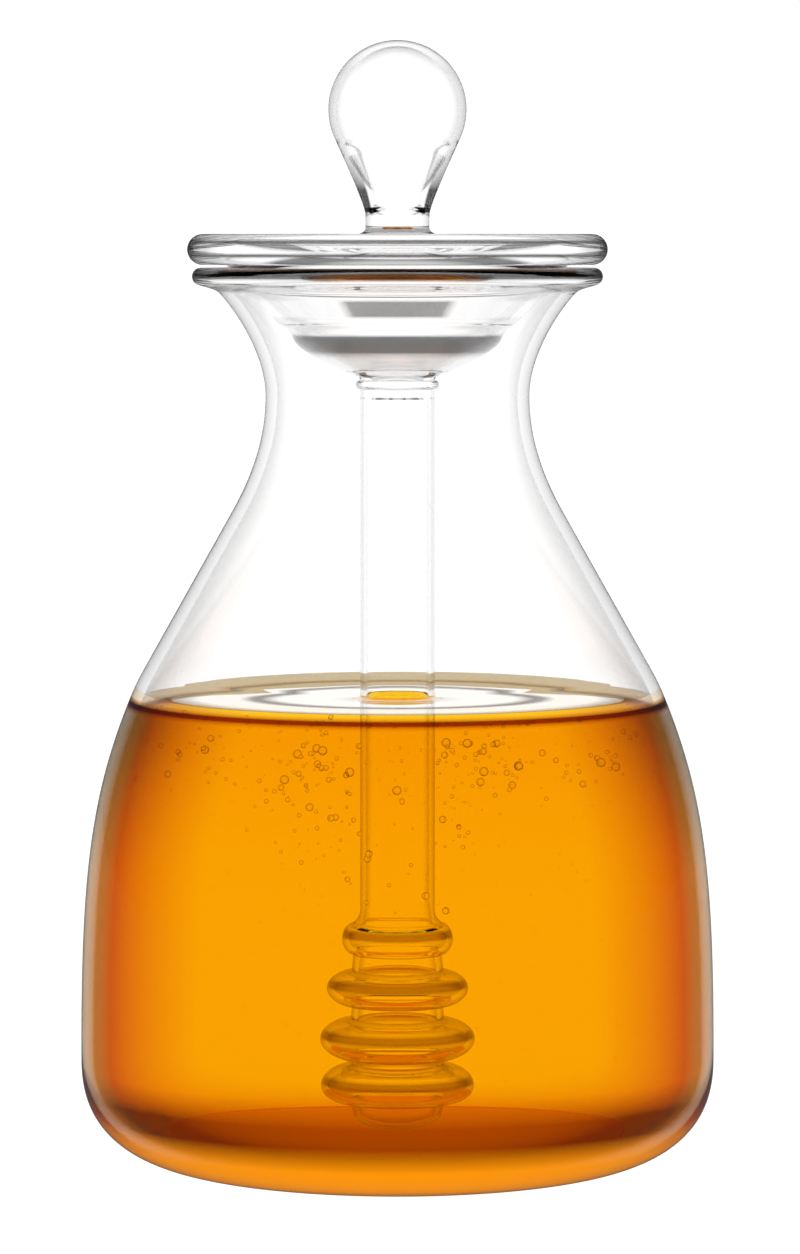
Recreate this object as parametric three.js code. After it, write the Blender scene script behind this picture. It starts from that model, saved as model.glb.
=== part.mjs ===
// A glass honey pot: the jar, its lid with the dipper fused under it, and the honey in the jar.
// Millimetres, +Z up. The origin is the centre of the jar's base, on the surface it stands on.
// Every piece is a solid of revolution, so each one is an outline of [radius, height] points.
import * as THREE from 'three';

// Sides of every round solid, and the clearance between two pieces that touch
const SIDES = 40;
const FIT_GAP = 0.3;

// Jar, outside
const BASE_FLAT_RADIUS = 20.5;
const BELLY_RADIUS = 40.15;
const BELLY_HEIGHT = 14.5;
const HEEL_SQUARENESS = 2.5;
const SHOULDER = { radius: 33.3, height: 61.3, lean: 22 };
const CONE_TOP = { radius: 21.0, height: 83.2 };
const WAIST = { radius: 16.65, height: 98 };
const FLARE_TOP = { radius: 22.4, height: 110.9, lean: 42 };
const LIP = { radius: 24.8, height: 113.05, bead: 1.1 };

// Jar, glass thickness
const FLOOR_THICKNESS = 1.9;
const WALL = 1.45;

// Honey
const HONEY_LEVEL = 59.7;

// Dipper, from its rounded end up to the collar under the lid
const DIPPER_END = { bottom: 3.5, radius: 5.66, height: 6.4 };
const GROOVE_RADIUS = 5.45;
const RINGS = [
  { radius: 9.75, height: 10.5, half: 2.75 },
  { radius: 9.85, height: 16.4, half: 2.65 },
  { radius: 9.0, height: 22.85, half: 2.3 },
  { radius: 7.05, height: 29.15, half: 2.05 },
];
const STEM_RADIUS = 4.75;
const STEM_TOP = 98.3;
const COLLAR = { radius: 5.3, height: 99.55, half: 0.65 };

// Lid: the bowl that hangs in the mouth, the rolled flange and the knob
const BOWL_BOTTOM = { radius: 4.9, height: 100.6 };
const BOWL_KNEE = { radius: 13.2, height: 105.6 };
const BOWL_STEP = { radius: 14.9, height: 107.4 };
const BOWL_TOP = { radius: 20.9, height: 113.4 };
const FLANGE = { radius: 26.5, bottom: 114.5, top: 118.4, roll: 1.95 };
const KNOB_NECK = { radius: 4.03, bottom: 119.2, top: 120.7, foot: 4.85 };
const KNOB = { radius: 8.7, centre: 134.05, taper: 24.2 };

const degrees = THREE.MathUtils.degToRad;

// Points of a cubic curve between two places, leaving and arriving along two leans from the vertical
function blend(from, to, leanFrom, leanTo, reachFrom, reachTo, steps) {
  const curve = new THREE.CubicBezierCurve(
    new THREE.Vector2(...from),
    new THREE.Vector2(
      from[0] + reachFrom * Math.sin(degrees(leanFrom)),
      from[1] + reachFrom * Math.cos(degrees(leanFrom)),
    ),
    new THREE.Vector2(
      to[0] - reachTo * Math.sin(degrees(leanTo)),
      to[1] - reachTo * Math.cos(degrees(leanTo)),
    ),
    new THREE.Vector2(...to),
  );
  return curve.getPoints(steps).map((point) => [point.x, point.y]);
}

// Points of an elliptical arc about a centre, angles in degrees from the radius direction
function arc(centre, radii, start, end, steps) {
  return Array.from({ length: steps + 1 }, (_, index) => {
    const angle = degrees(THREE.MathUtils.lerp(start, end, index / steps));
    return [centre[0] + radii[0] * Math.cos(angle), centre[1] + radii[1] * Math.sin(angle)];
  });
}

// The heel of the jar: a superellipse quarter from the flat base up to the belly
function heel(steps) {
  const power = 2 / HEEL_SQUARENESS;
  return Array.from({ length: steps + 1 }, (_, index) => {
    const angle = degrees(90 * (1 - index / steps));
    const across = Math.cos(angle) ** power;
    const down = Math.sin(angle) ** power;
    return [
      BASE_FLAT_RADIUS + (BELLY_RADIUS - BASE_FLAT_RADIUS) * across,
      BELLY_HEIGHT * (1 - down),
    ];
  });
}

// The jar's outside, from the flat base up to the root of the lip
function jarOutside() {
  const shoulder = [SHOULDER.radius, SHOULDER.height];
  const coneTop = [CONE_TOP.radius, CONE_TOP.height];
  const waist = [WAIST.radius, WAIST.height];
  const flareTop = [FLARE_TOP.radius, FLARE_TOP.height];
  const coneLean = THREE.MathUtils.radToDeg(
    Math.atan2(coneTop[0] - shoulder[0], coneTop[1] - shoulder[1]),
  );
  const belly = [BELLY_RADIUS, BELLY_HEIGHT];
  return [
    ...heel(9),
    ...blend(belly, shoulder, 0, -SHOULDER.lean, 23, 14, 5).slice(1),
    ...blend(coneTop, waist, coneLean, 0, 4.4, 6, 4),
    ...blend(waist, flareTop, 0, FLARE_TOP.lean, 4.6, 4.2, 4).slice(1),
  ];
}

// A line through the glass or the liquid, a given distance inside an outline that runs upwards
function inset(outline, distanceAt) {
  return outline.map(([radius, height], index) => {
    const before = outline[Math.max(index - 1, 0)];
    const after = outline[Math.min(index + 1, outline.length - 1)];
    const length = Math.hypot(after[0] - before[0], after[1] - before[1]);
    const distance = distanceAt(height);
    return [
      radius - (distance * (after[1] - before[1])) / length,
      height + (distance * (after[0] - before[0])) / length,
    ];
  });
}

// Glass thickness at a height: the blown wall, thicker down through the heel to the floor
function wallAt(height) {
  const share = THREE.MathUtils.smoothstep(height, 0, BELLY_HEIGHT);
  return THREE.MathUtils.lerp(FLOOR_THICKNESS, WALL, share);
}

const outside = jarOutside();
const inside = inset(outside, wallAt);
inside[0] = [BASE_FLAT_RADIUS, FLOOR_THICKNESS];

// The rounded bead of the mouth, from its underside over the top to the inside
function lipBead() {
  return arc([LIP.radius, LIP.height], [LIP.bead, LIP.bead], -75, 150, 6);
}

function jarOutline() {
  return [
    [0, 0],
    ...outside,
    ...lipBead(),
    ...[...inside].reverse(),
    [0, FLOOR_THICKNESS],
  ];
}

// The dipper's outline from its rounded end up to the top of the stem
function dipperOutline() {
  const roundness = [DIPPER_END.radius, DIPPER_END.height - DIPPER_END.bottom];
  const end = arc([0, DIPPER_END.height], roundness, -90, 0, 5);
  const rings = RINGS.flatMap(({ radius, height, half }) => [
    [GROOVE_RADIUS, height - half],
    ...arc([GROOVE_RADIUS, height], [radius - GROOVE_RADIUS, half], -60, 60, 4),
    [GROOVE_RADIUS, height + half],
  ]);
  const lastRing = RINGS[RINGS.length - 1];
  return [
    ...end,
    ...rings,
    [STEM_RADIUS, lastRing.height + lastRing.half + 1],
    [STEM_RADIUS, STEM_TOP],
  ];
}

// The lid above the stem: collar, bowl, flange and knob
function lidTopOutline() {
  const rollHeight = (FLANGE.top - FLANGE.bottom) / 2;
  const rollCentre = [FLANGE.radius - FLANGE.roll, FLANGE.bottom + rollHeight];
  const knobStart = -KNOB.taper;
  return [
    ...arc([STEM_RADIUS, COLLAR.height], [COLLAR.radius - STEM_RADIUS, COLLAR.half], -90, 90, 4),
    [BOWL_BOTTOM.radius, BOWL_BOTTOM.height],
    ...blend([6.2, 101.1], [BOWL_KNEE.radius, BOWL_KNEE.height], 66, 14, 3.2, 1.6, 4),
    [BOWL_STEP.radius, BOWL_STEP.height],
    [BOWL_TOP.radius, BOWL_TOP.height],
    [BOWL_TOP.radius + 0.6, FLANGE.bottom],
    ...arc(rollCentre, [FLANGE.roll, rollHeight], -90, 90, 6),
    [KNOB_NECK.foot, FLANGE.top],
    [KNOB_NECK.radius, KNOB_NECK.bottom],
    [KNOB_NECK.radius, KNOB_NECK.top],
    ...arc([0, KNOB.centre], [KNOB.radius, KNOB.radius], knobStart, 90, 9),
  ];
}

const dipper = dipperOutline();

function lidOutline() {
  return [...dipper, ...lidTopOutline()];
}

// The stretch of an outline below a height, ending exactly at that height
function below(outline, top) {
  const above = outline.findIndex(([, height]) => height > top);
  const [lowRadius, lowHeight] = outline[above - 1];
  const [highRadius, highHeight] = outline[above];
  const share = (top - lowHeight) / (highHeight - lowHeight);
  return [...outline.slice(0, above), [THREE.MathUtils.lerp(lowRadius, highRadius, share), top]];
}

// The honey: out along the floor, up the wall to the level, and back down round the dipper
function honeyOutline() {
  const wall = below(inset(inside, () => FIT_GAP), HONEY_LEVEL);
  const round = below(inset(dipper, () => -FIT_GAP), HONEY_LEVEL);
  wall[0] = [BASE_FLAT_RADIUS, FLOOR_THICKNESS + FIT_GAP];
  round[0] = [0, DIPPER_END.bottom - FIT_GAP];
  return [[0, FLOOR_THICKNESS + FIT_GAP], ...wall, ...round.reverse()];
}

function roundSolid(name, outline, material) {
  const points = outline.map(([radius, height]) => new THREE.Vector2(radius, height));
  const geometry = new THREE.LatheGeometry(points, SIDES);
  geometry.rotateX(Math.PI / 2);
  const mesh = new THREE.Mesh(geometry, material);
  mesh.name = name;
  return mesh;
}

function clearGlass(color) {
  return new THREE.MeshStandardMaterial({
    color, roughness: 0.03, metalness: 0, transparent: true, opacity: 0.35,
  });
}

const honeyMaterial = new THREE.MeshStandardMaterial({
  color: 0xfca203, roughness: 0.08, metalness: 0, transparent: true, opacity: 0.85,
});

const honeyPot = new THREE.Group();
honeyPot.name = 'honey_pot';
honeyPot.add(
  roundSolid('jar', jarOutline(), clearGlass(0xf4f6f6)),
  roundSolid('lid_with_dipper', lidOutline(), clearGlass(0xf6f8f8)),
  roundSolid('honey', honeyOutline(), honeyMaterial),
);

export default honeyPot;
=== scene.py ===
"""Looks of the glass honey pot: clear blown glass, amber honey and its bubbles, in a bright studio.
Outlines are lists of (radius, height) in millimetres, from the base at height 0, and are turned
into metres when a mesh is made. The pot's axis is the Z axis of the frame."""

import math
import random

import bmesh
import bpy
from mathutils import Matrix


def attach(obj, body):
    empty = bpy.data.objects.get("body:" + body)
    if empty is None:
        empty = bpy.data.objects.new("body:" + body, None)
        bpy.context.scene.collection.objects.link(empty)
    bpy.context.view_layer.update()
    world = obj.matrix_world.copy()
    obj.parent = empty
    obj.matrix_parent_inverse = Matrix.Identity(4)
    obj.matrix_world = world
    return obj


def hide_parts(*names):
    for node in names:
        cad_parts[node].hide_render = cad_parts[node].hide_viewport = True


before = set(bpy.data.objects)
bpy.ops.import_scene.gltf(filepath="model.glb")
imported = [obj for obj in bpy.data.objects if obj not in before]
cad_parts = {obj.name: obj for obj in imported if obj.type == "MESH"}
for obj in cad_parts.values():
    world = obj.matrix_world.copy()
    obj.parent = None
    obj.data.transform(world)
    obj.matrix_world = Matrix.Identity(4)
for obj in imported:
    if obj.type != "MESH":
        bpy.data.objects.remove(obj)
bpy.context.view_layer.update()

# Millimetres in metres, the sides of every round mesh, the angle in degrees from which an edge
# stays sharp, and the radius under which a point lies on the axis
MM = 0.001
SIDES = 192
SHARP_ANGLE = 40
ON_AXIS = 1e-6

# Jar, outside. A lean is an angle from the vertical in degrees
BASE_FLAT_RADIUS = 20.5
BELLY_RADIUS = 40.15
BELLY_HEIGHT = 14.5
HEEL_SQUARENESS = 2.5
SHOULDER = (33.3, 61.3)
SHOULDER_LEAN = -22
SHOULDER_EASE = 1.6
SLOPE_BELOW_SHOULDER = 0.38
SLOPE_ABOVE_SHOULDER = 0.56
CONE_TOP = (21.0, 83.2)
WAIST = (16.65, 98)
FLARE_TOP = (22.4, 110.9)
FLARE_LEAN = 42
LIP_CENTRE = (24.8, 113.05)
LIP_BEAD = 1.1
LIP_ARC = (-75, 150)
LIP_ROOT_LEAN = 68

# Jar, glass thickness
FLOOR_THICKNESS = 1.9
WALL = 1.45

# Honey: its level, how far it reaches into the glass, and where its floor, heel and side meet
HONEY_LEVEL = 59.7
INTO_WALL = 0.1
FLOOR_RADIUS = 29.5
HEEL_HEIGHT = 9.0

# The honey's climb up the jar and up the stem
MENISCUS_RISE = 0.9
MENISCUS_WIDTH = 3.4
STEM_MENISCUS_RISE = 0.5
STEM_MENISCUS_WIDTH = 1.8
MENISCUS_CURVE = 2.6
MENISCUS_STEPS = 16

# The honey's top edge against its level: where it starts, deepens into a painted dark line of shade, is dark
# from and to, and is painted pale with light
FILM_RISES = (-1.7, -1.4, -1.05, -0.6, -0.25)

# Painted reflections in the honey's surface, as rings, each a radius and how bright it mirrors
SURFACE_PAINTED_REFLECTIONS = [
    (5.0, 0.75), (9.0, 0.95), (15.0, 0.95), (17.4, 0.25), (18.4, 0.3),
    (20.0, 0.9), (25.0, 0.95), (27.5, 0.5), (29.5, 0.25), (31.0, 0.2),
]
SURFACE_SPAN = 40
SURFACE_WARMTH = (1, 0.98, 0.94)

# Dipper, each ring a radius, a height and half its thickness. A painted dark line of shade lies on
# each ring, from and to these heights above its middle
END_BOTTOM = 3.5
END_HEIGHT = 6.4
END_RADIUS = 5.66
GROOVE_RADIUS = 5.45
RINGS = [(9.75, 10.5, 2.75), (9.85, 16.4, 2.65), (9.0, 22.85, 2.3), (7.05, 29.15, 2.05)]
RING_SWEEP = 84
RING_PAINTED_SHADE = (0, 0.4, 1.1, 1.6)
STEM_ROOT = 1.6
STEM_RADIUS = 4.75
STEM_STRAIGHT_FROM = 36
STEM_TOP = 98.3
COLLAR_RADIUS = 5.3
COLLAR_HEIGHT = 99.55
COLLAR_HALF = 0.65

# Dipper, inside
STEM_WALL = 0.7
RING_WALL = 0.85
BORE_STRAIGHT_FROM = 34
BORE_ROOF = 0.4
BORE_CORNER = (0.35, 0.3)

# Lid
BOWL_BOTTOM = (4.9, 100.6)
BOWL_START = (6.2, 101.1)
BOWL_START_LEAN = 66
BOWL_KNEE = (13.2, 105.6)
BOWL_KNEE_LEAN = 14
BOWL_STEP = (14.9, 107.4)
BOWL_STEP_LEAN = 60
BOWL_TOP = (20.9, 113.4)
BOWL_EDGE = 0.6
FLANGE_RADIUS = 26.5
FLANGE_BOTTOM = 114.5
FLANGE_TOP = 118.4
FLANGE_ROLL = 1.95
NECK_RADIUS = 4.03
NECK_BOTTOM = 119.2
NECK_TOP = 120.7
NECK_FOOT = 4.85
NECK_FOOT_LEAN = -70
KNOB_RADIUS = 8.7
KNOB_CENTRE = 134.05
KNOB_TAPER = 24.2

# Lid, inside
BOWL_WALL = 1.0
BOWL_TOP_LEAN = 40
TOP_DISC = 1.15
RIM_HOLLOW = (1.2, 0.8)
RIM_CORNER = 0.6
NECK_WALL = 0.5
NECK_HOLLOW_FROM = 118.9
NECK_HOLLOW_TO = 120.8
NECK_CORNER = 0.3
KNOB_WALL = 0.9
KNOB_HOLLOW_WAIST = (2.9, 122.3)
KNOB_HOLLOW_TAPER = 38

# Bubbles in the honey: loose clusters of (centre, spread, count), with many more small than large
BUBBLE_SEED = 11
BUBBLE_CLUSTERS = [
    ((-10, -16, 53), 2.9, 44), ((-21, -14, 53), 2.1, 16), ((-13, -17, 46), 2.4, 14),
    ((-6.5, -14, 46), 1.8, 14), ((-6, -12, 39), 1.9, 9), ((11.5, -16, 52.5), 2.5, 36),
    ((6, -13, 53), 1.3, 12), ((22, -12, 52.5), 2.0, 14), ((6.5, -14, 45), 1.8, 9),
    ((2.5, -12, 37), 1.7, 6), ((-15, 14, 51), 3.2, 18), ((14, 17, 50), 3.2, 18),
    ((28, 6, 52), 2.4, 12), ((-27, 5, 52), 2.4, 12), ((1, 20, 46), 2.8, 12),
]
BUBBLE_SMALLEST = 0.15
BUBBLE_LARGEST = 0.58
BUBBLE_RARITY = 8
BUBBLE_DEPTH = 1.2

# Specks all through the honey, and bubbles round its rim
SPECK_COUNT = 320
SPECK_SIZES = (0.05, 0.12)
SPECK_RADII = (8, 30)
SPECK_DEPTH = 4
SPECK_SPAN = 46
SPECK_CROWDING = 1.5
RIM_BUBBLES = 40
RIM_BUBBLE_RADIUS = 31.2
RIM_BUBBLE_SIZES = (0.1, 0.3)
RIM_BUBBLE_SHIFT = 0.4

# How bright the studio is straight through the glass, which takes a little of it away, and how
# bright in the outer reflections
STRAIGHT_LIGHT = 1.12
REFLECTED_LIGHT = 0.06

# Index of glass in air, of glass that honey wets, which hides most of its edges, of the honey's
# open surface and of a bubble. Honey against glass bends nothing
GLASS_IOR = 1.47
WET_IOR = 1.25
SURFACE_IOR = 1.2
BUBBLE_IOR = 1.12
MATCHED_IOR = 1.0

# How much light the glass and the bubbles mirror
GLASS_MIRROR = 0.12
BUBBLE_MIRROR = 0.5

# How much faster green and blue darken than red in the honey's shade
BROWN_DEPTH = 1.35

# Share of a painted glow's colour that it also scatters
GLOW_SCATTER = 0.3

# The honey's colours from the middle of the jar to its edge, in 8 bits, and the span of its facing: its
# own colour, deep with painted shade near the sides, and painted pale with light at the very edge
HONEY_BRIGHT = (250, 162, 1)
HONEY_PAINTED_DEEP = (224, 96, 1)
HONEY_EDGE = (221, 141, 48)
HONEY_PAINTED_PALE = (255, 240, 215)
SIDE_FACING = 0.3

# The floor in metres, the painted shadow of the pot on it in millimetres, and its light
STAGE_HALF = 3.0
STAGE_DROP = 0.0002
PAINTED_SHADOW_RADIUS = 19.5
PAINTED_SHADOW_END = 24
PAINTED_SHADOW_SPAN = 60
STAGE_COLOUR = 0.1
STAGE_ROUGHNESS = 0.9
STAGE_LIGHT = 0.93
STAGE_DARK = 0.05

# The softbox above the pot, in metres and watts
SOFTBOX_SIZE = 1.2
SOFTBOX_HEIGHT = 1.1
SOFTBOX_POWER = 4

# The photograph's camera, in millimetres and degrees
CAMERA_DISTANCE = 758.43
CAMERA_HEIGHT = 117.64
CAMERA_PITCH = 3.688
CAMERA_ASIDE = 0.32
CAMERA_NEAREST = 10
SENSOR_WIDTH = 36
PIXELS_ACROSS = 800
FOCAL_PIXELS = 6004


# Outlines

def curve_between(start, end, leans, reaches, steps):
    """A cubic curve that leaves and arrives along two leans, and follows each for its reach."""
    leave, arrive = (math.radians(lean) for lean in leans)
    a = (start[0] + reaches[0] * math.sin(leave), start[1] + reaches[0] * math.cos(leave))
    b = (end[0] - reaches[1] * math.sin(arrive), end[1] - reaches[1] * math.cos(arrive))
    points = []
    for i in range(steps + 1):
        t = i / steps
        u = 1 - t
        points.append(tuple(
            u ** 3 * start[k] + 3 * u * u * t * a[k] + 3 * u * t * t * b[k] + t ** 3 * end[k]
            for k in range(2)
        ))
    return points


def line(start, end, steps):
    return [
        tuple(start[k] + (end[k] - start[k]) * i / steps for k in range(2))
        for i in range(steps + 1)
    ]


def arc(centre, radii, first, last, steps):
    """An elliptical arc, angles in degrees from the radius direction."""
    points = []
    for i in range(steps + 1):
        angle = math.radians(first + (last - first) * i / steps)
        points.append((centre[0] + radii[0] * math.cos(angle), centre[1] + radii[1] * math.sin(angle)))
    return points


def corner(inner, outer, low, high, squareness, steps):
    """A superellipse quarter that turns from a flat floor up into a wall."""
    power = 2 / squareness
    points = []
    for i in range(steps + 1):
        angle = math.pi / 2 * (1 - i / steps)
        across = max(math.cos(angle), 0) ** power
        down = math.sin(angle) ** power
        points.append((inner + (outer - inner) * across, low + (high - low) * (1 - down)))
    return points


def smoothstep(x, low, high):
    t = min(max((x - low) / (high - low), 0), 1)
    return t * t * (3 - 2 * t)


def inset(outline, distance_at):
    """The outline moved inwards, for one that runs upwards."""
    moved = []
    for i, (radius, height) in enumerate(outline):
        r0, h0 = outline[max(i - 1, 0)]
        r1, h1 = outline[min(i + 1, len(outline) - 1)]
        length = math.hypot(r1 - r0, h1 - h0)
        distance = distance_at(height)
        moved.append((radius - distance * (h1 - h0) / length, height + distance * (r1 - r0) / length))
    return moved


def first_above(outline, height):
    """The index of the first point above a height."""
    return next(i for i, point in enumerate(outline) if point[1] > height)


def below(outline, top):
    """The stretch of an outline below a height, ending exactly at it."""
    above = first_above(outline, top)
    (r0, h0), (r1, h1) = outline[above - 1], outline[above]
    share = (top - h0) / (h1 - h0)
    return outline[:above] + [(r0 + (r1 - r0) * share, top)]


def upper_outside():
    """The jar's outside from the belly to the root of the lip."""
    cone_lean = math.degrees(math.atan2(CONE_TOP[0] - SHOULDER[0], CONE_TOP[1] - SHOULDER[1]))
    belly = (BELLY_RADIUS, BELLY_HEIGHT)
    below_kink = (SHOULDER[0] + SHOULDER_EASE * SLOPE_BELOW_SHOULDER, SHOULDER[1] - SHOULDER_EASE)
    above_kink = (SHOULDER[0] - SHOULDER_EASE * SLOPE_ABOVE_SHOULDER, SHOULDER[1] + SHOULDER_EASE)
    return (
        curve_between(belly, below_kink, leans=(0, SHOULDER_LEAN), reaches=(23, 13), steps=44)
        + curve_between(below_kink, above_kink, (SHOULDER_LEAN, cone_lean), reaches=(1, 1), steps=8)[1:]
        + line(above_kink, CONE_TOP, steps=24)[1:]
        + curve_between(CONE_TOP, WAIST, leans=(cone_lean, 0), reaches=(4.4, 6), steps=24)[1:]
        + curve_between(WAIST, FLARE_TOP, leans=(0, FLARE_LEAN), reaches=(4.6, 4.2), steps=24)[1:]
    )


def jar_outside():
    """The jar's outside from the edge of its flat base to the root of the lip."""
    heel = corner(BASE_FLAT_RADIUS, BELLY_RADIUS, 0, BELLY_HEIGHT, HEEL_SQUARENESS, steps=48)
    return heel + upper_outside()[1:]


def wall_at(height):
    """Glass thickness: the blown wall, thicker down through the heel to the floor."""
    return FLOOR_THICKNESS + (WALL - FLOOR_THICKNESS) * smoothstep(height, 0, BELLY_HEIGHT)


def jar_inside():
    """The jar's inside from the edge of its flat floor up to the mouth."""
    inside = inset(jar_outside(), wall_at)
    inside[0] = (BASE_FLAT_RADIUS, FLOOR_THICKNESS)
    return inside


def lip_outline():
    """The rounded bead of the mouth, from its root under it over the top to the inside."""
    bead = arc(LIP_CENTRE, (LIP_BEAD, LIP_BEAD), *LIP_ARC, steps=28)
    root = curve_between(FLARE_TOP, bead[0], (FLARE_LEAN, LIP_ROOT_LEAN), reaches=(0.9, 0.9), steps=6)
    return root[1:-1] + bead


def ring_outline():
    """The dipper from its rounded end to above the last ring."""
    points = arc((0, END_HEIGHT), (END_RADIUS, END_HEIGHT - END_BOTTOM), -90, 0, steps=16)
    for radius, height, half in RINGS:
        radii = (radius - GROOVE_RADIUS, half)
        points = points + arc((GROOVE_RADIUS, height), radii, -RING_SWEEP, RING_SWEEP, steps=22)
    _, height, half = RINGS[-1]
    stem_root = (STEM_RADIUS, height + half + STEM_ROOT)
    return points + curve_between(points[-1], stem_root, leans=(-50, 0), reaches=(0.3, 0.9), steps=6)[1:]


def dipper_outline():
    return ring_outline() + line((STEM_RADIUS, STEM_STRAIGHT_FROM), (STEM_RADIUS, STEM_TOP), steps=20)


def bowl_outline():
    start_leans = (BOWL_START_LEAN, BOWL_KNEE_LEAN)
    knee_leans = (BOWL_KNEE_LEAN, BOWL_STEP_LEAN)
    return (
        [BOWL_BOTTOM]
        + curve_between(BOWL_START, BOWL_KNEE, start_leans, reaches=(3.2, 1.6), steps=16)
        + curve_between(BOWL_KNEE, BOWL_STEP, knee_leans, reaches=(0.8, 0.6), steps=6)[1:]
        + line(BOWL_STEP, BOWL_TOP, steps=12)[1:]
    )


def knob_outline():
    """The lid's neck and knob, from the top of the flange up to the axis."""
    neck_bottom, neck_top = (NECK_RADIUS, NECK_BOTTOM), (NECK_RADIUS, NECK_TOP)
    ball = arc((0, KNOB_CENTRE), (KNOB_RADIUS, KNOB_RADIUS), -KNOB_TAPER, 90, steps=48)
    taper = curve_between(neck_top, ball[0], leans=(0, KNOB_TAPER), reaches=(1.2, 4.5), steps=20)
    foot = curve_between(
        (NECK_FOOT, FLANGE_TOP), neck_bottom, leans=(NECK_FOOT_LEAN, 0), reaches=(0.5, 0.4), steps=8,
    )
    return foot + line(neck_bottom, neck_top, steps=4)[1:-1] + taper + ball[1:]


def lid_outline():
    """The dipper and the lid, from the dipper's rounded end up to the top of the knob."""
    collar_radii = (COLLAR_RADIUS - STEM_RADIUS, COLLAR_HALF)
    collar = arc((STEM_RADIUS, COLLAR_HEIGHT), collar_radii, -90, 90, steps=12)
    roll_half = (FLANGE_TOP - FLANGE_BOTTOM) / 2
    roll_centre = (FLANGE_RADIUS - FLANGE_ROLL, FLANGE_BOTTOM + roll_half)
    roll = arc(roll_centre, (FLANGE_ROLL, roll_half), -90, 90, steps=32)
    bowl_edge = (BOWL_TOP[0] + BOWL_EDGE, FLANGE_BOTTOM)
    return dipper_outline() + collar + bowl_outline() + [bowl_edge] + roll + knob_outline()


# Hollows of the lid and dipper, each from the axis up and back to the axis

def dipper_hollow():
    rings = inset(ring_outline(), lambda height: RING_WALL)
    rings[0] = (0, END_BOTTOM + RING_WALL)
    bore = STEM_RADIUS - STEM_WALL
    top = STEM_TOP - BORE_ROOF
    inward, down = BORE_CORNER
    straight = line((bore, BORE_STRAIGHT_FROM), (bore, top - down), steps=20)
    return rings[:-3] + straight + [(bore - inward, top), (0, top)]


def bowl_hollow():
    bowl = inset(bowl_outline()[1:], lambda height: BOWL_WALL)
    ceiling = FLANGE_TOP - TOP_DISC
    out, up = RIM_HOLLOW
    rim = (BOWL_TOP[0] + out, (BOWL_TOP[1] + ceiling) / 2 + up)
    edge = curve_between(bowl[-1], rim, leans=(BOWL_TOP_LEAN, 0), reaches=(1, 0.6), steps=6)[1:]
    return [(0, bowl[0][1])] + bowl + edge + [(rim[0] - RIM_CORNER, ceiling), (0, ceiling)]


def knob_hollow():
    bore = NECK_RADIUS - NECK_WALL
    inner = KNOB_RADIUS - KNOB_WALL
    waist = KNOB_HOLLOW_WAIST
    bore_top = (bore, NECK_HOLLOW_TO)
    ball = arc((0, KNOB_CENTRE), (inner, inner), -KNOB_HOLLOW_TAPER, 90, steps=40)
    return (
        [(0, NECK_HOLLOW_FROM), (bore - NECK_CORNER, NECK_HOLLOW_FROM)]
        + line((bore, NECK_BOTTOM), bore_top, steps=4)
        + curve_between(bore_top, waist, leans=(0, 0), reaches=(0.5, 0.5), steps=6)[1:]
        + curve_between(waist, ball[0], leans=(0, KNOB_HOLLOW_TAPER), reaches=(2.2, 2.2), steps=14)[1:]
        + ball[1:]
    )


# Meshes

def turned(sections):
    """Vertices, faces and each face's material, of a body turned from sections of (points, material)."""
    outline, wears = [], []
    for points, material in sections:
        outline += points
        wears += [material] * len(points)
    vertices, rings, faces, materials = [], [], [], []
    for radius, height in outline:
        if radius < ON_AXIS:
            rings.append([len(vertices)] * SIDES)
            vertices.append((0, 0, height * MM))
            continue
        first = len(vertices)
        rings.append(list(range(first, first + SIDES)))
        for side in range(SIDES):
            angle = 2 * math.pi * side / SIDES
            vertices.append((radius * math.cos(angle) * MM, radius * math.sin(angle) * MM, height * MM))
    for low, high, material in zip(rings, rings[1:], wears[1:]):
        for side in range(SIDES):
            after = (side + 1) % SIDES
            face = list(dict.fromkeys([low[side], low[after], high[after], high[side]]))
            if len(face) > 2:
                faces.append(face)
                materials.append(material)
    return vertices, faces, materials


def make_mesh(name, bodies, materials):
    """One object from several closed bodies of (sections, hollow). A hollow faces inwards."""
    vertices, faces, wears = [], [], []
    for sections, hollow in bodies:
        more, sides, worn = turned(sections)
        shift = len(vertices)
        vertices += more
        faces += [[shift + i for i in (reversed(face) if hollow else face)] for face in sides]
        wears += worn
    mesh = bpy.data.meshes.new(name)
    mesh.from_pydata(vertices, [], faces)
    for material in materials:
        mesh.materials.append(material)
    mesh.polygons.foreach_set("material_index", wears)
    mesh.shade_smooth()
    mesh.set_sharp_from_angle(angle=math.radians(SHARP_ANGLE))
    return in_scene(name, mesh)


def in_scene(name, data):
    """A new object of this data, linked to the scene."""
    piece = bpy.data.objects.new(name, data)
    bpy.context.scene.collection.objects.link(piece)
    return piece


# Colours, all linear

def linear(srgb):
    """Linear values of an 8-bit colour."""
    return [c / 255 / 12.92 if c <= 10 else ((c / 255 + 0.055) / 1.055) ** 2.4 for c in srgb]


def amber(srgb):
    """The honey's tint that shows as this 8-bit colour against the studio's light."""
    return [c / STRAIGHT_LIGHT for c in linear(srgb)]


def grey(value):
    return (value, value, value)


def brown(value):
    """A grey that turns brown as it darkens, as shade does in honey."""
    return (value, value ** BROWN_DEPTH, value ** BROWN_DEPTH)


def tint_of(value):
    """A number stands for its grey, a tuple for itself."""
    return value if isinstance(value, tuple) else grey(value)


# Shader parts

def new_material(name):
    material = bpy.data.materials.new(name)
    material.use_nodes = True
    nodes = material.node_tree.nodes
    return material, nodes, material.node_tree.links, nodes["Principled BSDF"]


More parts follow.
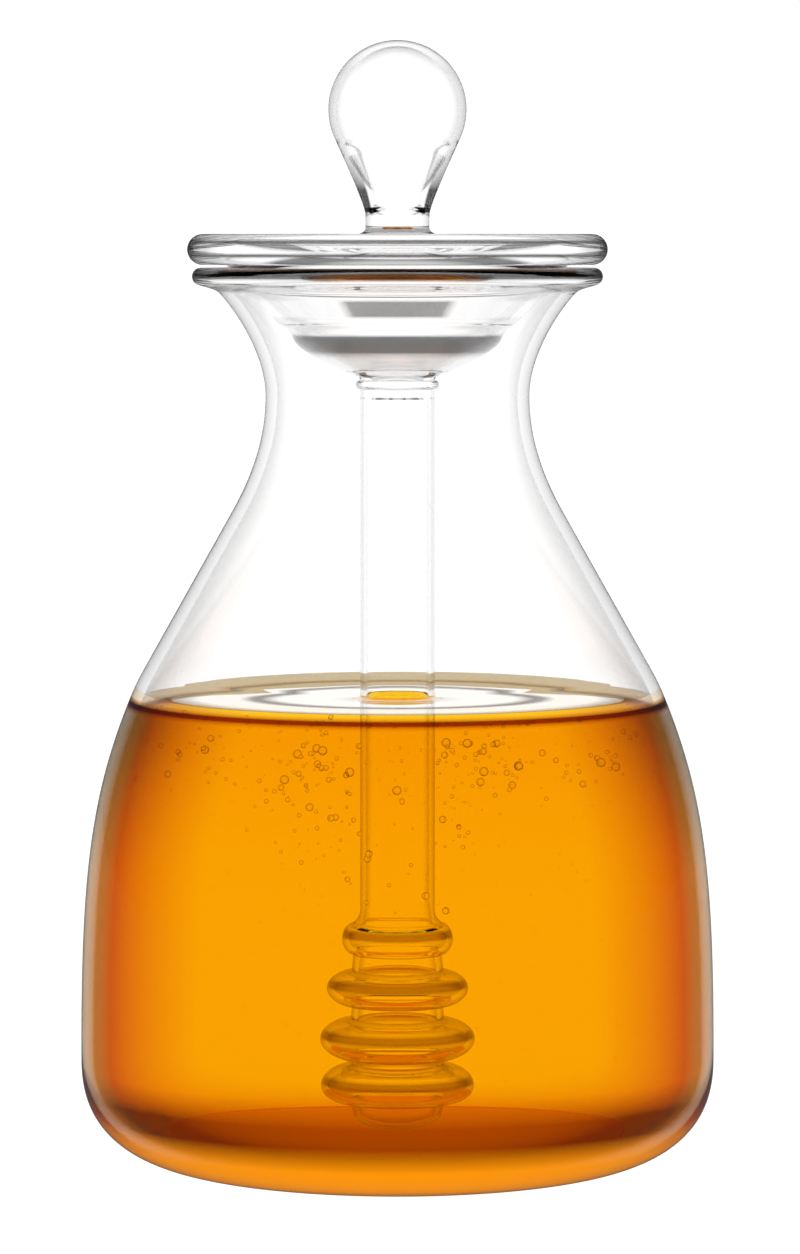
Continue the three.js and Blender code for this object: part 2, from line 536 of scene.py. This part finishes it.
def ramp(nodes, links, source, stops, low=0.0, high=1.0):
    """A colour ramp of (position, linear colour) stops between two values of its source."""
    scale = nodes.new("ShaderNodeMapRange")
    scale.inputs["From Min"].default_value = low
    scale.inputs["From Max"].default_value = high
    links.new(source, scale.inputs["Value"])
    node = nodes.new("ShaderNodeValToRGB")
    elements = node.color_ramp.elements
    while len(elements) > 1:
        elements.remove(elements[-1])
    for i, (place, colour) in enumerate(stops):
        position = (place - low) / (high - low)
        element = elements[0] if i == 0 else elements.new(position)
        element.position = position
        element.color = (*colour, 1)
    links.new(scale.outputs["Result"], node.inputs["Fac"])
    return node.outputs["Color"]


def mixed(nodes, links, kind, share, first, second):
    """Two colours mixed, where the share is a number or a socket."""
    mix = nodes.new("ShaderNodeMix")
    mix.data_type = "RGBA"
    mix.blend_type = kind
    if isinstance(share, (int, float)):
        mix.inputs["Factor"].default_value = share
    else:
        links.new(share, mix.inputs["Factor"])
    links.new(first, mix.inputs["A"])
    links.new(second, mix.inputs["B"])
    return mix.outputs["Result"]


def blended(nodes, links, share, first, second):
    """Two shaders mixed by a share, into the material's surface."""
    mix = nodes.new("ShaderNodeMixShader")
    links.new(share, mix.inputs["Fac"])
    links.new(first, mix.inputs[1])
    links.new(second, mix.inputs[2])
    links.new(mix.outputs["Shader"], nodes["Material Output"].inputs["Surface"])


def facing(nodes):
    """How far a surface turns from the eye: 0 where it is seen head on, 1 where edge on."""
    weight = nodes.new("ShaderNodeLayerWeight")
    weight.inputs["Blend"].default_value = 0.5
    return weight.outputs["Facing"]


def by_height(nodes, links, stops, low, high):
    """A colour ramp of (height, colour) stops, where all heights are millimetres above the base."""
    place = nodes.new("ShaderNodeTexCoord")
    split = nodes.new("ShaderNodeSeparateXYZ")
    links.new(place.outputs["Object"], split.inputs["Vector"])
    stops = [(height * MM, colour) for height, colour in stops]
    return ramp(nodes, links, split.outputs["Z"], stops, low * MM, high * MM)


def by_side(nodes, links, outer, inner):
    """One colour where a surface is seen from outside, another where it is seen from within."""
    geometry = nodes.new("ShaderNodeNewGeometry")
    return ramp(nodes, links, geometry.outputs["Backfacing"], [(0.0, outer), (1.0, inner)])


def in_front(nodes, links, share):
    """The share where a surface is seen from outside, nought where it is seen from within."""
    return mixed(nodes, links, "MULTIPLY", 1.0, share, by_side(nodes, links, grey(1), grey(0)))


def distance_from_axis(nodes, links):
    """Distance from the pot's axis in metres."""
    place = nodes.new("ShaderNodeTexCoord")
    flat = nodes.new("ShaderNodeVectorMath")
    flat.operation = "MULTIPLY"
    flat.inputs[1].default_value = (1, 1, 0)
    length = nodes.new("ShaderNodeVectorMath")
    length.operation = "LENGTH"
    links.new(place.outputs["Object"], flat.inputs[0])
    links.new(flat.outputs["Vector"], length.inputs[0])
    return length.outputs["Value"]


def clear(shader, ior=MATCHED_IOR, mirror=1.0):
    """Makes a shader clear and smooth."""
    shader.inputs["Roughness"].default_value = 0.0
    shader.inputs["IOR"].default_value = ior
    shader.inputs["Transmission Weight"].default_value = 1.0
    shader.inputs["Specular Tint"].default_value = (*grey(mirror), 1)


def painted_glow(nodes, links, colour, strength):
    """A painted glow of honey in its own colour, as if it scattered light: the sum of diffuse and emission.
    """
    body = nodes.new("ShaderNodeBsdfDiffuse")
    body.inputs["Color"].default_value = (*[c * GLOW_SCATTER for c in colour], 1)
    glow = nodes.new("ShaderNodeEmission")
    glow.inputs["Color"].default_value = (*colour, 1)
    glow.inputs["Strength"].default_value = strength
    both = nodes.new("ShaderNodeAddShader")
    links.new(body.outputs["BSDF"], both.inputs[0])
    links.new(glow.outputs["Emission"], both.inputs[1])
    return both.outputs["Shader"]


# Glass

def glass(name, edge, painted_lines=(), ior=GLASS_IOR):
    """Clear glass, with painted shade. Edge holds (facing, tint) stops that darken it where it turns edge
    on, and each painted line its (height, share) stops and the (facing, tint) stops that hold where the
    share is 1."""
    material, nodes, links, shader = new_material(name)
    turned_away = facing(nodes)
    tint = ramp(nodes, links, turned_away, [(place, tint_of(value)) for place, value in edge])
    for heights, tints in painted_lines:
        stops = [(height, grey(share)) for height, share in heights]
        share = in_front(nodes, links, by_height(nodes, links, stops, stops[0][0], stops[-1][0]))
        painted_line = ramp(nodes, links, turned_away, [(place, tint_of(value)) for place, value in tints])
        tint = mixed(nodes, links, "MIX", share, tint, painted_line)
    links.new(tint, shader.inputs["Base Color"])
    clear(shader, ior, GLASS_MIRROR)
    return material


def band(low, full_from, full_to, high):
    """The (height, share) stops of a painted dark line that fades in and out."""
    return [(low, 0), (full_from, 1), (full_to, 1), (high, 0)]


def wet_glass():
    """The glass under the honey, which honey of nearly the same index makes vanish."""
    material, _, _, shader = new_material("jar_floor")
    shader.inputs["Base Color"].default_value = (1, 1, 1, 1)
    clear(shader)
    return material


def jar_materials():
    """The jar below and above the honey's level, its inside, and its floor under the honey."""
    # Painted shade: the jar's glass darkens where it turns edge on, and a painted dark line lies along the
    # lip
    lip_painted_line = ([(112.5, 0), (112.9, 1), (114.2, 1)], [(0.0, 0.03), (1.0, 0.05)])
    return [
        glass("jar_body", [(0.0, 1.0), (0.72, 1.0), (0.88, 0.85), (1.0, 0.08)]),
        glass("jar_neck", [(0.0, 1.0), (0.5, 0.985), (0.62, 0.92), (1.0, 0.75)], [lip_painted_line]),
        glass("jar_inside", [(0.0, 1.0), (0.42, 1.0), (0.56, 0.93), (0.69, 0.74), (0.86, 0.48), (1.0, 0.4)]),
        wet_glass(),
    ]


def lid_materials():
    """The lid's outside and its hollows above the honey, then the dipper's in it. The lines and patches
    tinted into the glass at set heights are painted dark reflections of the studio."""
    # Painted dark reflections, each a tint of the glass at set heights: lines round the flange, a patch and
    # a band on the bowl, a line at the neck's foot, crescents in the knob and its darker crown
    flange_painted_lines = [
        (band(117.0, 117.25, 117.5, 117.8), [(0.0, 0.06), (1.0, 0.04)]),
        (band(115.3, 115.6, 115.8, 116.1), [(0.0, 0.04), (1.0, 0.03)]),
    ]
    bowl_painted_patch = (band(108.2, 108.6, 110.4, 110.8), [(0.3, 0.1), (0.335, 0.12), (0.36, 0.95)])
    bowl_painted_band = (band(103.0, 103.9, 105.9, 106.3), [(0.0, 0.03), (1.0, 0.04)])
    neck_foot_painted_line = (band(118.3, 118.6, 119.1, 119.4), [(0.0, 0.12), (1.0, 0.2)])
    knob_painted_crescents = (band(121.0, 121.5, 124.0, 128.8), [(0.36, 1), (0.43, 0.006)])
    knob_crown_painted_shade = ([(139.0, 0), (141.5, 1), (143.0, 1)], [(0.7, 1), (0.85, 0.35), (1.0, 0.2)])
    # Painted shade: a brown line on each ring of the dipper, darkest where the ring turns edge on
    ring_shades = [(0.0, brown(0.3)), (0.3, brown(0.25)), (0.55, brown(0.12)), (1.0, brown(0.05))]
    ring_painted_lines = [
        (band(*[height + rise for rise in RING_PAINTED_SHADE]), ring_shades) for _, height, _ in RINGS
    ]
    return [
        # Painted shade: the lid's glass darkens where it turns edge on
        glass(
            "lid_outside", [(0.0, 1.0), (0.45, 1.0), (0.58, 0.62), (0.85, 0.55), (1.0, 0.45)],
            [*flange_painted_lines, bowl_painted_patch, bowl_painted_band, neck_foot_painted_line, knob_painted_crescents, knob_crown_painted_shade],
        ),
        glass("lid_inside", [(0.0, 1.0), (0.4, 1.0), (0.51, 0.92), (0.63, 0.76), (1.0, 0.6)]),
        # Painted shade: the dipper's glass turns brown and dark where it turns edge on in the honey
        glass("dipper_outside", [
            (0.0, 1), (0.45, 1), (0.65, brown(0.6)), (0.85, brown(0.2)), (1.0, brown(0.06)),
        ], ring_painted_lines, WET_IOR),
        glass("dipper_inside", [
            (0.0, 1), (0.4, 1), (0.65, brown(0.6)), (1.0, brown(0.2)),
        ], ior=WET_IOR),
    ]


# Honey

def honey_tint(nodes, links):
    """The honey's tint behind the glass, by how far it turns from the eye: bright in the middle, deep with
    painted shade near the sides, and painted pale with light at the very edge. Painted shade lies on it
    towards the top, most of all at the sides, and in a band low down that shows from outside alone."""
    turned_away = facing(nodes)

    def by_facing(stops):
        return ramp(nodes, links, turned_away, stops, 0.0, SIDE_FACING)

    body = by_facing([
        (0.105, amber(HONEY_BRIGHT)), (0.232, amber(HONEY_PAINTED_DEEP)),
        (0.262, amber(HONEY_EDGE)), (0.288, amber(HONEY_PAINTED_PALE)),
    ])
    top_shade = by_facing([
        (0.09, (0.97, 0.86, 0.86)), (0.15, (0.84, 0.72, 0.72)), (0.24, (0.41, 0.46, 0.46)),
        (0.27, (0.42, 0.45, 0.48)), (0.288, grey(0.66)),
    ])
    band_shade = by_facing([
        (0.0, (0.42, 0.19, 0.19)), (0.13, (0.23, 0.125, 0.125)), (0.18, (0.08, 0.03, 0.03)),
        (0.245, (0.065, 0.055, 0.05)), (0.288, (0.5, 0.3, 0.2)),
    ])
    near_top = by_height(nodes, links, [(38, grey(0)), (56, grey(1))], low=0, high=60)
    tint = mixed(nodes, links, "MULTIPLY", near_top, body, top_shade)
    in_band = by_height(nodes, links, [(10.4, grey(1)), (13.6, grey(0))], low=0, high=20)
    return mixed(nodes, links, "MULTIPLY", in_front(nodes, links, in_band), tint, band_shade)


def honey_side():
    material, nodes, links, shader = new_material("honey_side")
    links.new(honey_tint(nodes, links), shader.inputs["Base Color"])
    clear(shader)
    return material


def honey_heel():
    """The curved bottom edge, with a painted glow from outside for the light that the thick glass catches.
    Seen through the honey, its lowest part is painted dark with shade, as deep as the floor beside it."""
    material, nodes, links, shader = new_material("honey_heel")
    # Painted shade: seen from within, the heel's lowest part is dark
    deep = by_height(nodes, links, [(2.2, (0.32, 0.033, 0.001)), (3.2, grey(1))], low=0, high=20)
    deep = mixed(nodes, links, "LIGHTEN", 1.0, deep, by_side(nodes, links, grey(1), grey(0)))
    tint = mixed(nodes, links, "DARKEN", 1.0, honey_tint(nodes, links), deep)
    links.new(tint, shader.inputs["Base Color"])
    clear(shader)
    # Painted glow: seen from outside, the heel's lower part shows the honey's colour by emission
    share = by_height(nodes, links, [(5.0, grey(1)), (8.0, grey(0))], low=0, high=20)
    glow = painted_glow(nodes, links, linear((250, 150, 2)), strength=0.85)
    blended(nodes, links, in_front(nodes, links, share), shader.outputs["BSDF"], glow)
    return material


def honey_floor():
    """The flat bottom, with a painted glow for the light that comes down through the honey."""
    material, nodes, links, _ = new_material("honey_floor")
    glow = painted_glow(nodes, links, linear((226, 138, 15)), strength=0.9)
    links.new(glow, nodes["Material Output"].inputs["Surface"])
    return material


def honey_top():
    """The honey's open surface: a mirror at a low angle, with painted reflections in rings round the axis.
    """
    material, nodes, links, shader = new_material("honey_top")
    tint = ramp(nodes, links, facing(nodes), [
        (0.0, linear((252, 170, 4))), (0.6, linear((252, 190, 8))), (0.85, (1.0, 0.86, 0.42)),
    ])
    links.new(tint, shader.inputs["Base Color"])
    clear(shader, SURFACE_IOR)
    # Painted reflections: the mirror's colour in bright and dim rings round the axis
    rings = ramp(nodes, links, distance_from_axis(nodes, links), [
        (radius * MM, [value * share for share in SURFACE_WARMTH]) for radius, value in SURFACE_PAINTED_REFLECTIONS
    ], 0.0, SURFACE_SPAN * MM)
    gloss = nodes.new("ShaderNodeBsdfGlossy")
    gloss.inputs["Roughness"].default_value = 0.0
    links.new(rings, gloss.inputs["Color"])
    share = ramp(nodes, links, facing(nodes), [(0.0, grey(0.04)), (0.6, grey(0.12)), (0.9, grey(0.9))])
    blended(nodes, links, share, shader.outputs["BSDF"], gloss.outputs["BSDF"])
    return material


def honey_rim():
    """Where the honey climbs the glass: painted dark with shade from above, clear from below."""
    material, nodes, links, shader = new_material("honey_rim")
    tint = by_side(nodes, links, linear((150, 132, 96)), grey(1))
    links.new(tint, shader.inputs["Base Color"])
    clear(shader)
    return material


def honey_film():
    """The top edge of the honey on the glass: it deepens to a painted dark line of shade, above which it is
    a thin film painted pale with light.
    """
    material, nodes, links, shader = new_material("honey_film")
    start, deepens, dark_from, dark_to, pale_from = (HONEY_LEVEL + rise for rise in FILM_RISES)
    # Painted shade: the honey deepens to a dark line just under its level
    shade = by_height(nodes, links, [
        (start, grey(1)), (deepens, (0.8, 0.5, 0.5)), (dark_from, (0.1, 0.006, 0.02)),
    ], start, pale_from)
    dark = mixed(nodes, links, "MULTIPLY", 1.0, honey_tint(nodes, links), shade)
    # Painted light: above the dark line the film is pale
    pale = by_height(nodes, links, [
        (pale_from, linear((238, 180, 120))), (HONEY_LEVEL, linear((255, 244, 226))),
    ], start, HONEY_LEVEL)
    above = by_height(nodes, links, [(dark_to, grey(0)), (pale_from, grey(1))], start, pale_from)
    links.new(mixed(nodes, links, "MIX", above, dark, pale), shader.inputs["Base Color"])
    clear(shader)
    return material


def honey_core():
    """Where the honey meets the dipper: almost no tint of its own."""
    material, _, _, shader = new_material("honey_core")
    shader.inputs["Base Color"].default_value = (1.0, 0.985, 0.9, 1)
    clear(shader)
    return material


# Pieces. Each section of an outline is listed with the place of its material in its mesh

def make_jar():
    body, neck, within, wet = range(4)
    outside = jar_outside()
    waterline = first_above(outside, HONEY_LEVEL)
    inside = jar_inside()[::-1]
    floor = next(i for i, point in enumerate(inside) if point[0] < FLOOR_RADIUS and point[1] < HEEL_HEIGHT)
    sections = [
        ([(0, 0)] + outside[:waterline], body),
        (outside[waterline:] + lip_outline(), neck),
        (inside[:floor], within),
        (inside[floor:] + [(0, FLOOR_THICKNESS)], wet),
    ]
    jar = make_mesh("jar_glass", [(sections, False)], jar_materials())
    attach(jar, "root")
    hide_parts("jar")


def make_lid():
    outer, inner, outer_in_honey, inner_in_honey = range(4)

    def split_at_honey(outline, wet, dry):
        waterline = first_above(outline, HONEY_LEVEL)
        return [(outline[:waterline], wet), (outline[waterline:], dry)]

    bodies = [
        (split_at_honey(lid_outline(), outer_in_honey, outer), False),
        (split_at_honey(dipper_hollow(), inner_in_honey, inner), True),
        ([(bowl_hollow(), inner)], True),
        ([(knob_hollow(), inner)], True),
    ]
    lid = make_mesh("lid_glass", bodies, lid_materials())
    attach(lid, "root")
    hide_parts("lid_with_dipper")


def meniscus(wall, width, rise):
    """The honey's climb, from the wall it touches out to the level. Towards the axis, width is negative."""
    points = []
    for i in range(MENISCUS_STEPS + 1):
        share = i / MENISCUS_STEPS
        points.append((wall + width * share, HONEY_LEVEL + rise * (1 - share) ** MENISCUS_CURVE))
    return points


def make_honey():
    """Out along the floor, up the wall, over the surface to the dipper and down round it."""
    side, rim, top, core, heel, floor, film = range(7)
    wall = below(inset(jar_inside(), lambda height: -INTO_WALL), HONEY_LEVEL + MENISCUS_RISE)
    on_floor = [p for p in wall if p[0] < FLOOR_RADIUS]
    on_heel = [p for p in wall[len(on_floor):] if p[1] < HEEL_HEIGHT]
    rest = wall[len(on_floor) + len(on_heel):]
    on_side = [p for p in rest if p[1] < HONEY_LEVEL + FILM_RISES[0]]
    at_wall = meniscus(wall[-1][0], -MENISCUS_WIDTH, MENISCUS_RISE)[1:]
    at_stem = meniscus(STEM_RADIUS - INTO_WALL, STEM_MENISCUS_WIDTH, STEM_MENISCUS_RISE)[::-1]
    level = line(at_wall[-1], at_stem[0], steps=20)[1:-1]
    round_dipper = below(inset(dipper_outline(), lambda height: INTO_WALL), HONEY_LEVEL)
    round_dipper[0] = (0, END_BOTTOM + INTO_WALL)
    sections = [
        ([(0, FLOOR_THICKNESS - INTO_WALL)] + on_floor, floor),
        (on_heel, heel),
        (on_side, side),
        (rest[len(on_side):], film),
        (at_wall, rim),
        (level + at_stem, top),
        (round_dipper[::-1], core),
    ]
    honey = make_mesh("honey_body", [(sections, False)], [
        honey_side(), honey_rim(), honey_top(), honey_core(), honey_heel(), honey_floor(), honey_film(),
    ])
    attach(honey, "root")
    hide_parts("honey")


def bubble_places():
    """Seeded places and sizes: loose clusters under the surface, specks all through the honey, and
    bubbles round the rim. None is above the highest place for a bubble."""
    dice = random.Random(BUBBLE_SEED)
    highest = HONEY_LEVEL - BUBBLE_DEPTH
    places = []
    for centre, spread, count in BUBBLE_CLUSTERS:
        for _ in range(count):
            size = min(BUBBLE_SMALLEST + dice.expovariate(BUBBLE_RARITY), BUBBLE_LARGEST)
            places.append((*[dice.gauss(middle, spread) for middle in centre], size))
    nearest, farthest = SPECK_RADII
    for _ in range(SPECK_COUNT):
        angle = dice.uniform(0, 2 * math.pi)
        out = math.sqrt(dice.uniform(nearest ** 2, farthest ** 2))
        up = HONEY_LEVEL - SPECK_DEPTH - SPECK_SPAN * dice.random() ** SPECK_CROWDING
        places.append((out * math.cos(angle), out * math.sin(angle), up, dice.uniform(*SPECK_SIZES)))
    for i in range(RIM_BUBBLES):
        angle = 2 * math.pi * (i + dice.uniform(-RIM_BUBBLE_SHIFT, RIM_BUBBLE_SHIFT)) / RIM_BUBBLES
        x, y = (RIM_BUBBLE_RADIUS * way for way in (math.cos(angle), math.sin(angle)))
        places.append((x, y, highest, dice.uniform(*RIM_BUBBLE_SIZES)))
    return [(x, y, min(z, highest), size) for x, y, z, size in places]


def bubble_material():
    material, nodes, links, shader = new_material("bubbles")
    # Painted shade: the bubble's tint turns brown and dark towards its edge
    tint = ramp(nodes, links, facing(nodes), [
        (0.0, grey(0.98)), (0.2, brown(0.92)), (0.45, brown(0.55)), (0.8, brown(0.3)),
    ])
    links.new(tint, shader.inputs["Base Color"])
    clear(shader, BUBBLE_IOR, BUBBLE_MIRROR)
    return material


def make_bubbles():
    """Air bubbles as one mesh of small balls, drawn as thin dark rings by the light they bend away and by
    painted shade in their tint.
    """
    ball = bmesh.new()
    bmesh.ops.create_icosphere(ball, subdivisions=3, radius=1.0)
    shape = [tuple(v.co) for v in ball.verts]
    sides = [[v.index for v in face.verts] for face in ball.faces]
    ball.free()
    vertices, faces = [], []
    for x, y, z, size in bubble_places():
        first = len(vertices)
        vertices += [((x + a * size) * MM, (y + b * size) * MM, (z + c * size) * MM) for a, b, c in shape]
        faces += [[first + i for i in side] for side in sides]
    mesh = bpy.data.meshes.new("honey_bubbles")
    mesh.from_pydata(vertices, [], faces)
    mesh.shade_smooth()
    mesh.materials.append(bubble_material())
    bubbles = in_scene("honey_bubbles", mesh)
    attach(bubbles, "root")


# Stage, light and camera

def seen_straight(nodes, links):
    """The studio's light: straight for what the eye, the floor or the far side of the glass gets,
    and less in outer reflections."""
    path = nodes.new("ShaderNodeLightPath")
    straight = path.outputs["Is Camera Ray"]
    for kind in ("Is Transmission Ray", "Is Diffuse Ray"):
        either = nodes.new("ShaderNodeMath")
        either.operation = "MAXIMUM"
        links.new(straight, either.inputs[0])
        links.new(path.outputs[kind], either.inputs[1])
        straight = either.outputs["Value"]
    strength = nodes.new("ShaderNodeMapRange")
    strength.inputs["To Min"].default_value = REFLECTED_LIGHT
    strength.inputs["To Max"].default_value = STRAIGHT_LIGHT
    links.new(straight, strength.inputs["Value"])
    return strength.outputs["Result"]


def stage_material():
    """White by its own light, with a painted shadow right under the pot, and dark in outer reflections."""
    material, nodes, links, shader = new_material("floor")
    shader.inputs["Base Color"].default_value = (*grey(STAGE_COLOUR), 1)
    shader.inputs["Roughness"].default_value = STAGE_ROUGHNESS
    place = nodes.new("ShaderNodeTexCoord")
    distance = nodes.new("ShaderNodeVectorMath")
    distance.operation = "LENGTH"
    links.new(place.outputs["Object"], distance.inputs[0])
    # Painted shadow: the floor's own light fades to dark right under the pot
    shade = ramp(nodes, links, distance.outputs["Value"], [
        (0.0, grey(0.02)), (PAINTED_SHADOW_RADIUS * MM, grey(0.03)), (PAINTED_SHADOW_END * MM, grey(1)),
    ], 0, PAINTED_SHADOW_SPAN * MM)
    links.new(shade, shader.inputs["Emission Color"])
    shader.inputs["Emission Strength"].default_value = STAGE_LIGHT * STRAIGHT_LIGHT
    dark = nodes.new("ShaderNodeBsdfDiffuse")
    dark.inputs["Color"].default_value = (*grey(STAGE_DARK), 1)
    straight = seen_straight(nodes, links)
    blended(nodes, links, straight, dark.outputs["BSDF"], shader.outputs["BSDF"])
    return material


def make_stage():
    """A plain white floor, darker only in a painted shadow right under the pot."""
    ways = [(-1, -1), (1, -1), (1, 1), (-1, 1)]
    mesh = bpy.data.meshes.new("floor")
    mesh.from_pydata([(x * STAGE_HALF, y * STAGE_HALF, -STAGE_DROP) for x, y in ways], [], [(0, 1, 2, 3)])
    mesh.materials.append(stage_material())
    floor = in_scene("floor", mesh)


def make_world():
    """A bright horizon all round, with a dark ceiling that draws the dark lines in the glass."""
    world = bpy.data.worlds.new("studio")
    bpy.context.scene.world = world
    world.use_nodes = True
    nodes, links = world.node_tree.nodes, world.node_tree.links
    place = nodes.new("ShaderNodeTexCoord")
    split = nodes.new("ShaderNodeSeparateXYZ")
    links.new(place.outputs["Generated"], split.inputs["Vector"])
    light = ramp(nodes, links, split.outputs["Z"], [
        (-1.0, grey(1)), (0.6, grey(1)), (0.7, grey(0.22)), (0.85, grey(0.22)), (0.95, grey(0.6)),
    ], -1, 1)
    background = nodes["Background"]
    links.new(light, background.inputs["Color"])
    links.new(seen_straight(nodes, links), background.inputs["Strength"])


def make_lights():
    light = bpy.data.lights.new("softbox", "AREA")
    light.shape = "DISK"
    light.size = SOFTBOX_SIZE
    light.energy = SOFTBOX_POWER
    lamp = in_scene("softbox", light)
    lamp.location = (0, 0, SOFTBOX_HEIGHT)
    lamp.visible_camera = False
    lamp.visible_glossy = False
    lamp.visible_transmission = False


def make_camera():
    """The camera that the photograph was taken with, from its fitted place and focal length."""
    data = bpy.data.cameras.new("camera")
    data.sensor_fit = "HORIZONTAL"
    data.sensor_width = SENSOR_WIDTH
    data.lens = FOCAL_PIXELS * SENSOR_WIDTH / PIXELS_ACROSS
    data.clip_start = CAMERA_NEAREST * MM
    camera = in_scene("camera", data)
    camera.location = (CAMERA_ASIDE * MM, -CAMERA_DISTANCE * MM, CAMERA_HEIGHT * MM)
    camera.rotation_euler = (math.radians(90 - CAMERA_PITCH), 0, 0)
    bpy.context.scene.camera = camera


def set_render():
    """Plain colours, and enough bounces for light to cross every sheet of glass."""
    scene = bpy.context.scene
    scene.view_settings.view_transform = "Standard"
    scene.cycles.max_bounces = 40
    scene.cycles.transmission_bounces = 36
    scene.cycles.glossy_bounces = 16
    scene.cycles.transparent_max_bounces = 32


make_camera()
make_world()
make_lights()
make_stage()
make_jar()
make_lid()
make_honey()
make_bubbles()
set_render()
